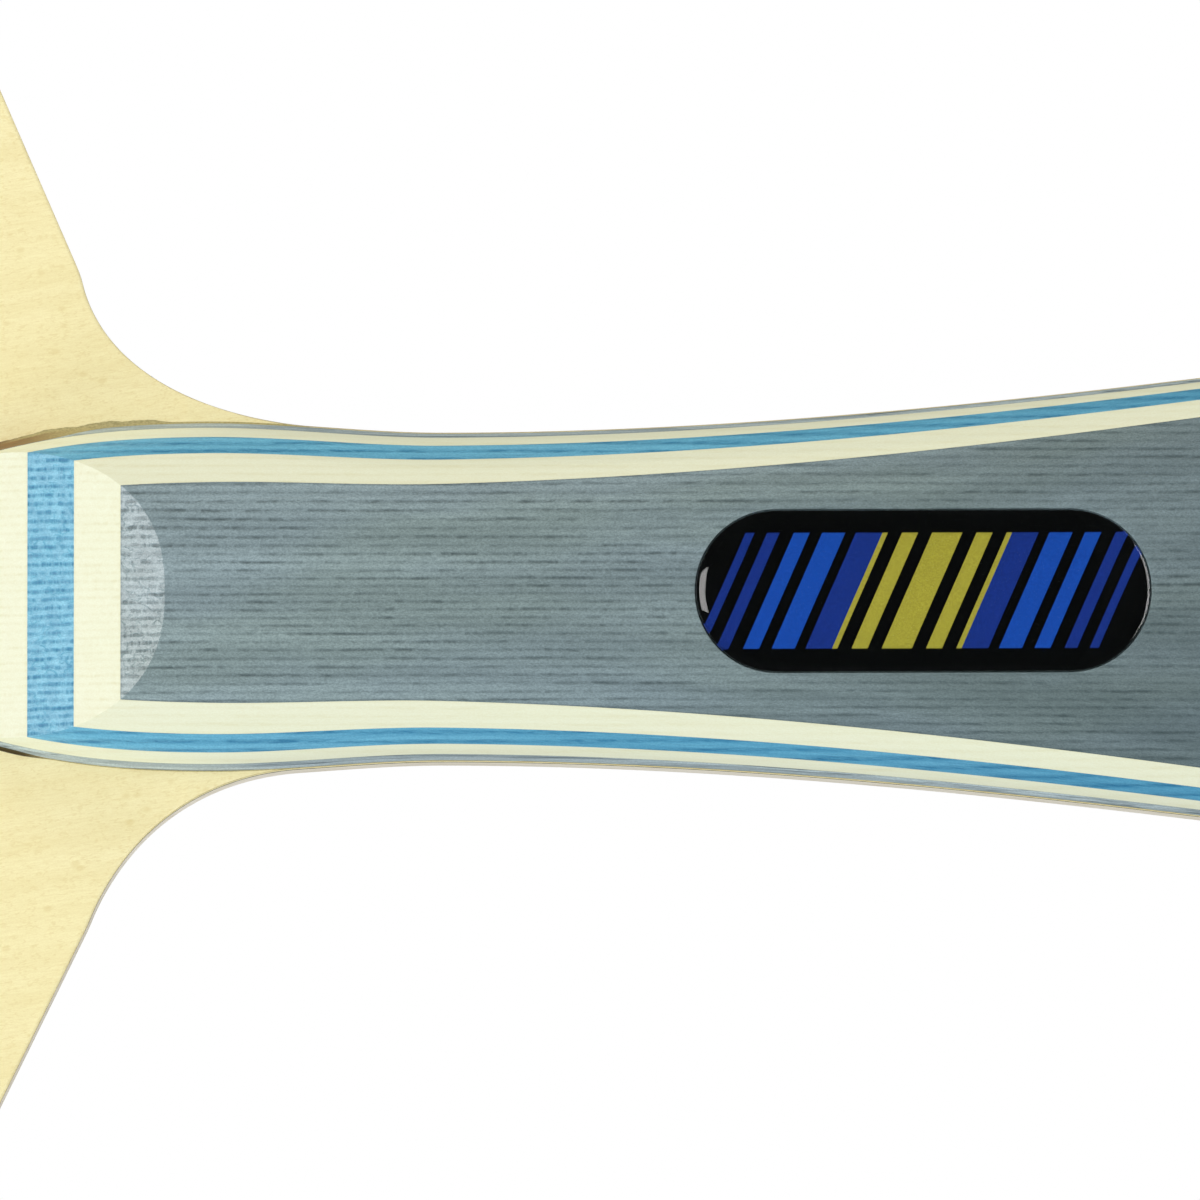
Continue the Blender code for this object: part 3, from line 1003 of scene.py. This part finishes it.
def print_finish():
    """Colour by the place along the label, sheared by the slant, with a faint dot grain of the press."""
    made, recipe, shader, place = start_finish("printed film")
    across, _, along = recipe.parts(place)
    sheared = recipe.math("ADD", along, recipe.times(across, bar_slant))
    start = label_from_butt - label_length / 2
    share = recipe.math("DIVIDE", recipe.math("SUBTRACT", sheared, start), label_length)
    ramp = recipe.node("ShaderNodeValToRGB", share)
    ramp.color_ramp.interpolation = "CONSTANT"
    stops = ramp.color_ramp.elements
    stops.remove(stops[1])
    for at, colour in colour_starts():
        stop = stops[0] if at == 0 else stops.new(at / label_length)
        stop.color = opaque(colour)
    from_edge = recipe.math("SUBTRACT", label_radius, recipe.math("ABSOLUTE", across))
    inside = recipe.ramp(from_edge, margin_end, bars_full)
    colour = recipe.mix(inside, opaque(black), ramp.outputs["Color"])
    dots = recipe.noise(recipe.stretch(place, press_cells), detail=1.0)
    colour = recipe.mix(recipe.ramp(dots, *clear_contrast, last=press_share), colour, opaque(black))
    recipe.put(colour, shader.inputs["Base Color"])
    recipe.put(recipe.ramp(dots, *soft_contrast, first=0.32, last=0.45), shader.inputs["Roughness"])
    shader.inputs["Specular IOR Level"].default_value = 0.0
    return made


printed_film = print_finish()

# %% [markdown]
# The resin is glass to the shader: it bends what is seen through it and mirrors the lamps. Lamps don't
# find their way through bent glass in a short render, so for their rays alone the resin is clear.

# %% Finish of the resin
ripple_cells = (120.0, 120.0, 90.0)


def resin_finish():
    """Clear resin with a faint ripple, as it sets. Shadow rays pass through it unbent."""
    made, recipe, shader, place = start_finish("clear resin")
    shader.inputs["Base Color"].default_value = (0.97, 0.985, 1.0, 1.0)
    shader.inputs["Roughness"].default_value = 0.02
    shader.inputs["IOR"].default_value = 1.5
    shader.inputs["Transmission Weight"].default_value = 1.0
    ripple = recipe.noise(recipe.stretch(place, ripple_cells), detail=0.0)
    recipe.put(recipe.relief(ripple, strength=0.2, depth=fine_relief), shader.inputs["Normal"])
    shadow = recipe.node("ShaderNodeLightPath").outputs["Is Shadow Ray"]
    clear = recipe.node("ShaderNodeBsdfTransparent").outputs[0]
    seen = recipe.node("ShaderNodeMixShader", shadow, shader.outputs[0], clear)
    recipe.put(seen.outputs[0], made.node_tree.nodes["Material Output"].inputs["Surface"])
    return made


clear_resin = resin_finish()

# %% [markdown]
# Film and lens are grids round the label's middle line: columns go round its outline, and rows go from
# the middle of the underside out to the rim and back over the top. Near the rim the lens stands up
# steeply, so its rows are closer together there.

# %% Make the label
end_turn_steps = 56
straight_steps = 60
film_rows = 25
lens_rows = 41


def stadium(inset):
    """Points (x, z) round the label's outline, drawn in by an inset, as many for every inset."""
    radius = label_radius - inset
    turn = np.linspace(0, math.pi, end_turn_steps + 1)
    rise = np.linspace(label_low, label_high, straight_steps + 1)[1:-1]
    top = np.column_stack([radius * np.cos(turn), label_high + radius * np.sin(turn)])
    bottom = np.column_stack([-radius * np.cos(turn), label_low - radius * np.sin(turn)])
    right = np.column_stack([np.full(len(rise), radius), rise])
    return np.concatenate([right, top, right[::-1] * np.array([-1.0, 1.0]), bottom])


def label_mesh(name, inwards, low, high):
    """Closed plate over the crown's skin. For each share inwards, low and high give its two heights."""
    rows = [(share, low(share)) for share in inwards[::-1]] + [(share, high(share)) for share in inwards]
    grid = []
    for share, rise in rows:
        x, z = stadium(share * label_radius).T
        grid.append(np.column_stack([x, -skin_depth(x, z) - rise, z]))
    return shell(name, [(np.stack(grid), True)], [])


def lens_rise(share):
    """Superellipse from the rim to the middle: rise * (1 - (1 - share)^power)^(1 / power)."""
    return dome_rise * (1 - (1 - share) ** dome_edge_power) ** (1 / dome_edge_power)


film_low = glue_film - seat_depth
film_high = film_low + print_thickness
lens_low = film_high + glue_film
film_inwards = np.linspace(0, 1, film_rows)
lens_inwards = np.linspace(0, 1, lens_rows) ** 2
film = label_mesh("label_film", film_inwards, lambda share: film_low, lambda share: film_high)
lens = label_mesh("label_lens", lens_inwards, lambda share: lens_low, lens_rise)
add_piece("label_film", film, printed_film, "label_print", "label_print")
add_piece("label_lens", lens, clear_resin, "clear_resin", "label_dome")

# %% [markdown]
# Where the grip is glued on, a little glue comes out along its foot and soaks into the veneer. It is
# brown and climbs the base board at the head end, turns to a pale olive smear further down, and is a
# mere thread elsewhere. The right side got more of it than the left. Its brown and olive are partly the
# glue and partly painted shadow: the shade that the grip's side casts along its foot.

# %% Finish of the glue
dust_cells = (1500.0, 1500.0, 700.0)
# Colours of the glue with painted shadow: the olive and browns are darkened as the shade at the grip's foot.
olive = (0.50, 0.43, 0.20)
dark_olive = (0.36, 0.31, 0.13)
brown = (0.20, 0.115, 0.045)
light_brown = (0.29, 0.175, 0.07)
# Painted shade of the gap under the grip's head end on its left side, as near-black brown on the glue.
gap_shade_brown = (0.06, 0.042, 0.012)
brown_heights = (0.0905, 0.0965)
brown_up_board = (0.0001, 0.0003)
all_brown_heights = (0.094, 0.098)
# Heights and side of the painted shade in that gap.
gap_shade_heights = (0.0925, 0.0955)
gap_shade_side = (-0.001, 0.0)


def glue_and_shadow_finish():
    """Glue and painted shadow: olive on the veneer, browner towards the head end, darkened as the shade at
    the grip's foot.
    """
    made, recipe, shader, place = start_finish("glue and painted shadow")
    across, depth, along = recipe.parts(place)
    dust = recipe.noise(recipe.stretch(place, dust_cells), detail=3.0, roughness=0.6)
    specks = recipe.noise(recipe.stretch(place, speck_cells))
    # Painted shadow with the glue: olive on the veneer and brown up the board and at the head end.
    olive_part = recipe.mix(recipe.ramp(specks, *soft_contrast), opaque(olive), opaque(dark_olive))
    brown_part = recipe.mix(recipe.ramp(dust, *clear_contrast), opaque(brown), opaque(light_brown))
    up_board = recipe.math("SUBTRACT", recipe.math("ABSOLUTE", depth), face_depth)
    on_board = recipe.ramp(up_board, *brown_up_board)
    brown_reach = recipe.math("MAXIMUM", on_board, recipe.ramp(along, *all_brown_heights))
    brown_share = recipe.times(recipe.ramp(along, *brown_heights), brown_reach)
    # Painted shade of the gap at the grip's left corner by the head end.
    gap_shade = recipe.times(recipe.ramp(along, *gap_shade_heights), recipe.fade(across, *gap_shade_side))
    colour = recipe.mix(gap_shade, recipe.mix(brown_share, olive_part, brown_part), opaque(gap_shade_brown))
    recipe.put(colour, shader.inputs["Base Color"])
    recipe.put(recipe.ramp(dust, *soft_contrast, first=0.45, last=0.6), shader.inputs["Roughness"])
    recipe.put(recipe.relief(dust, strength=0.5, depth=fine_relief), shader.inputs["Normal"])
    return made


glue_and_painted_shadow = glue_and_shadow_finish()

# %% Path of the glue
glue_side_steps = 260
glue_end_steps = 200
open_room = 1.0


def side_of_foot(sizes):
    """Heights up one side from the hollow's foot, and the width of bare veneer beside the board there."""
    z = np.linspace(handle_length - sizes["foot"], handle_length, glue_side_steps)
    hollow = tang_and_hollow(face_depth, **sizes)[1]
    return z, np.interp(z, hollow[:, 1], hollow[:, 0]) - side_at(z, face_depth)


def foot_path():
    """Foot of the base board: up the right side, across the head end and down the left.

    Each place has its share of the half-width (1 right, -1 left), its height and its room on the veneer.
    """
    right_z, right_room = side_of_foot(right_shoulder)
    left_z, left_room = side_of_foot(left_shoulder)
    end_share = np.linspace(1, -1, glue_end_steps + 1)[1:-1]
    share = np.concatenate([np.ones(glue_side_steps), end_share, -np.ones(glue_side_steps)])
    z = np.concatenate([right_z, np.full(len(end_share), handle_length), left_z[::-1]])
    room = np.concatenate([right_room, np.full(len(end_share), open_room), left_room[::-1]])
    return share, z, room


print("path of", len(foot_path()[0]), "points")

# %% [markdown]
# Along each side the glue is a thread that swells to a smear between two heights and climbs the board
# between two more. Three sines make the right smear's outline uneven, and near the head end it thins.

# %% Sizes of the glue
right_glue = {
    "thread": 0.0001,
    "smear": 0.00030,
    "smear_heights": (0.0835, 0.0865),
    "lowest": 0.00012,
    "climb": 0.00125,
    "climb_heights": (0.0885, 0.0935),
}
left_glue = {
    "thread": 0.00004,
    "smear": 0.00018,
    "smear_heights": (0.0925, 0.096),
    "lowest": 0.00004,
    "climb": 0.0003,
    "climb_heights": (0.0935, 0.096),
}
smear_waves = ((0.7, 1500, 0.0), (0.25, 3700, 1.0), (0.12, 11000, 2.0))
wave_reach = 0.00009
thinned_share = 0.5
thinned_heights = (0.095, 0.098)
most_of_room = 0.8
glue_skin = 0.00002
glue_sunk = 0.00003


def eased(value, low, high):
    """Goes smoothly from 0 to 1 while a value goes from low to high."""
    t = np.clip((value - low) / (high - low), 0, 1)
    return t * t * (3 - 2 * t)


def side_glue(z, sizes, uneven, smear_left, climb_left):
    """How far one side's glue reaches over the veneer and climbs up the board at heights z.

    The last two are the shares of the smear and of the climb that are left near the head end.
    """
    reach = sizes["thread"] + eased(z, *sizes["smear_heights"]) * (sizes["smear"] + uneven) * smear_left
    climb = sizes["lowest"] + sizes["climb"] * eased(z, *sizes["climb_heights"]) * climb_left
    return reach, climb


def glue_sizes(share, z, room):
    """Reach and climb at each place of the path, blended from the left side's to the right side's."""
    uneven = wave_reach * sum(size * np.sin(z * turning + start) for size, turning, start in smear_waves)
    smear_left = 1 - thinned_share * eased(z, *thinned_heights)
    climb_left = 1 - eased(z, thinned_heights[1], handle_length)
    right_reach, right_climb = side_glue(z, right_glue, uneven, smear_left, climb_left)
    left_reach, left_climb = side_glue(z, left_glue, 0.0, 1.0, 1.0)
    to_right = eased(share, -1.0, 1.0)
    reach = left_reach + (right_reach - left_reach) * to_right
    climb = left_climb + (right_climb - left_climb) * to_right
    return np.minimum(reach, most_of_room * room + glue_skin), climb


widest_reach, highest_climb = (1000 * float(size.max()) for size in glue_sizes(*foot_path()))
print("glue reaches", round(widest_reach, 2), "mm at most and climbs", round(highest_climb, 2), "mm")

# %% Make the glue fillets
profile_points = 9


def glue_mesh(name, place):
    """Hollow fillet swept along the foot. Each point stands off the base board's own skin at its depth.

    Across the path it is a quarter circle, from out on the veneer in and up the board, whose two ends
    go straight down into the veneer and straight into the board, to a corner that lies inside both.
    """
    share, z, room = foot_path()
    reach, climb = glue_sizes(share, z, room)
    on_side = np.abs(share) == 1
    turns = np.linspace(0, math.pi / 2, profile_points)
    profile = [(1 - math.sin(turn), 1 - math.cos(turn)) for turn in turns]
    columns = []
    for out, up in [(1.0, None)] + profile + [(None, 1.0), (None, None)]:
        rise = -glue_sunk if up is None else climb * up + glue_skin
        away = -glue_sunk if out is None else reach * out + glue_skin
        base = side_at(z, face_depth + rise)
        x = share * base + np.where(on_side, share * away, 0.0)
        up_z = z + np.where(on_side, 0.0, away)
        columns.append(np.column_stack([x, -face_depth - rise + 0 * z, up_z]))
    grid = place(np.stack(columns, axis=1))
    return shell(name, [(grid, True)], [grid[0], grid[-1]])


for side_name, place in (("front", unturned), ("back", turned)):
    name = f"glue_fillet_{side_name}"
    add_piece(name, glue_mesh(name, place), glue_and_painted_shadow, "clear_resin")

# %% [markdown]
# The stage is a plain pale floor that fades to white, under a white sky that only the camera sees at
# its full strength. Large soft lamps do the lighting: the key comes from the head's side in front, at
# the angle that the bevel mirrors towards the camera, so the bevel is the brightest face.

# %% Floor
floor_reach = 12.0
floor_gap = 0.00002
floor_glow = 0.7
floor_grain_cells = (40.0, 40.0, 40.0)
floor_pale = (0.86, 0.86, 0.855)
floor_paler = (0.88, 0.88, 0.88)
floor_in_gloss = (0.03, 0.03, 0.03)
white_span = (0.06, 0.2)


def floor_finish():
    """Pale grey near the object and white further off. It glows a little on what stands on it."""
    made, recipe, shader, place = start_finish("pale floor")
    rays = recipe.node("ShaderNodeLightPath").outputs
    grain = recipe.noise(recipe.stretch(place, floor_grain_cells))
    pale = recipe.mix(grain, opaque(floor_pale), opaque(floor_paler))
    lit = recipe.math("MAXIMUM", rays["Is Camera Ray"], rays["Is Diffuse Ray"])
    recipe.put(recipe.mix(lit, opaque(floor_in_gloss), pale), shader.inputs["Base Color"])
    shader.inputs["Roughness"].default_value = 0.9
    shader.inputs["Specular IOR Level"].default_value = 0.0
    far = recipe.node("ShaderNodeVectorMath", place, operation="LENGTH").outputs["Value"]
    white_part = recipe.times(recipe.ramp(far, *white_span), rays["Is Camera Ray"])
    share = recipe.math("MAXIMUM", white_part, recipe.times(rays["Is Diffuse Ray"], floor_glow))
    glow = recipe.node("ShaderNodeEmission", (1.0, 1.0, 1.0, 1.0), 1.0).outputs[0]
    shown = recipe.node("ShaderNodeMixShader", share, shader.outputs[0], glow)
    recipe.put(shown.outputs[0], made.node_tree.nodes["Material Output"].inputs["Surface"])
    return made


def floor_mesh():
    """Square sheet under the butt, a hair below it so that the two faces don't share a plane."""
    corners = floor_reach * np.array([(-1.0, -1.0), (1.0, -1.0), (1.0, 1.0), (-1.0, 1.0)])
    mesh = bpy.data.meshes.new("floor")
    mesh.from_pydata([(x, y, -floor_gap) for x, y in corners], [], [(0, 1, 2, 3)])
    mesh.materials.append(floor_finish())
    return mesh


floor = bpy.data.objects.new("floor", floor_mesh())
bpy.context.scene.collection.objects.link(floor)

# %% Sky
ambient = 0.2
dark_room = 0.02
world = bpy.data.worlds.new("studio")
world.use_nodes = True
bpy.context.scene.world = world
sky = Recipe(world.node_tree)
rays = sky.node("ShaderNodeLightPath").outputs
dimmed = sky.math("ADD", dark_room, sky.times(rays["Is Diffuse Ray"], ambient - dark_room))
background = world.node_tree.nodes["Background"]
background.inputs["Color"].default_value = (1.0, 1.0, 1.0, 1.0)
sky.put(sky.math("MAXIMUM", rays["Is Camera Ray"], dimmed), background.inputs["Strength"])
print("floor and sky, ambient", ambient)


# %% Lamps
def soft_lamp(name, place, size, power, colour, mirrored=False):
    """Square lamp that looks at the grip. The camera doesn't see it, and glossy faces only if mirrored."""
    light = bpy.data.lights.new(name, "AREA")
    light.shape = "SQUARE"
    light.size = size
    light.energy = power
    light.color = colour
    lamp = bpy.data.objects.new(name, light)
    lamp.location = place
    lamp.rotation_mode = "QUATERNION"
    lamp.rotation_quaternion = (Vector(grip_middle) - Vector(place)).to_track_quat("-Z", "Y")
    lamp.visible_camera = False
    lamp.visible_glossy = mirrored
    bpy.context.scene.collection.objects.link(lamp)
    print("lamp", name, power, "W")


grip_middle = (0.0, 0.0, 0.06)
soft_lamp("key", (0.08, -0.95, 1.05), size=0.7, power=10.4, colour=(1.0, 0.985, 0.97), mirrored=True)
soft_lamp("side fill", (-1.3, -0.42, 0.42), size=0.8, power=8.1, colour=(0.92, 0.98, 1.04))
soft_lamp("warm side", (1.3, -0.40, 0.42), size=0.8, power=5.4, colour=(1.02, 0.945, 0.79))
soft_lamp("back", (0.35, 1.25, 0.85), size=0.9, power=10.0, colour=(1.0, 1.0, 1.0))

# %% [markdown]
# The camera stands where the photographer's did: square to the grip, a few degrees round to the left,
# with the handle pointing right in the picture. The long lens keeps near and far boards at one scale.

# %% Camera
picture_width = 0.0923
picture_pixels = 1200
shift_pixels = -3
lens_mm = 800.0
sensor_mm = 36.0
turn_left = math.radians(3.4)
to_camera = Vector((-math.sin(turn_left), -math.cos(turn_left), 0.0))
aim = Vector((0.0, -face_depth, 0.05085))
right_in_picture = Vector((0.0, 0.0, -1.0))
up_in_picture = to_camera.cross(right_in_picture)
camera_data = bpy.data.cameras.new("camera")
camera_data.lens = lens_mm
camera_data.sensor_width = sensor_mm
camera_data.shift_y = shift_pixels / picture_pixels
camera_data.clip_end = 100.0
camera = bpy.data.objects.new("camera", camera_data)
turn = Matrix((right_in_picture, up_in_picture, to_camera)).transposed().to_4x4()
away = to_camera * picture_width * lens_mm / sensor_mm
camera.matrix_world = Matrix.Translation(aim + away) @ turn
bpy.context.scene.collection.objects.link(camera)
bpy.context.scene.camera = camera
bpy.context.scene.view_settings.view_transform = "Standard"
print("camera", round(away.length, 3), "m away")

# %% [markdown]
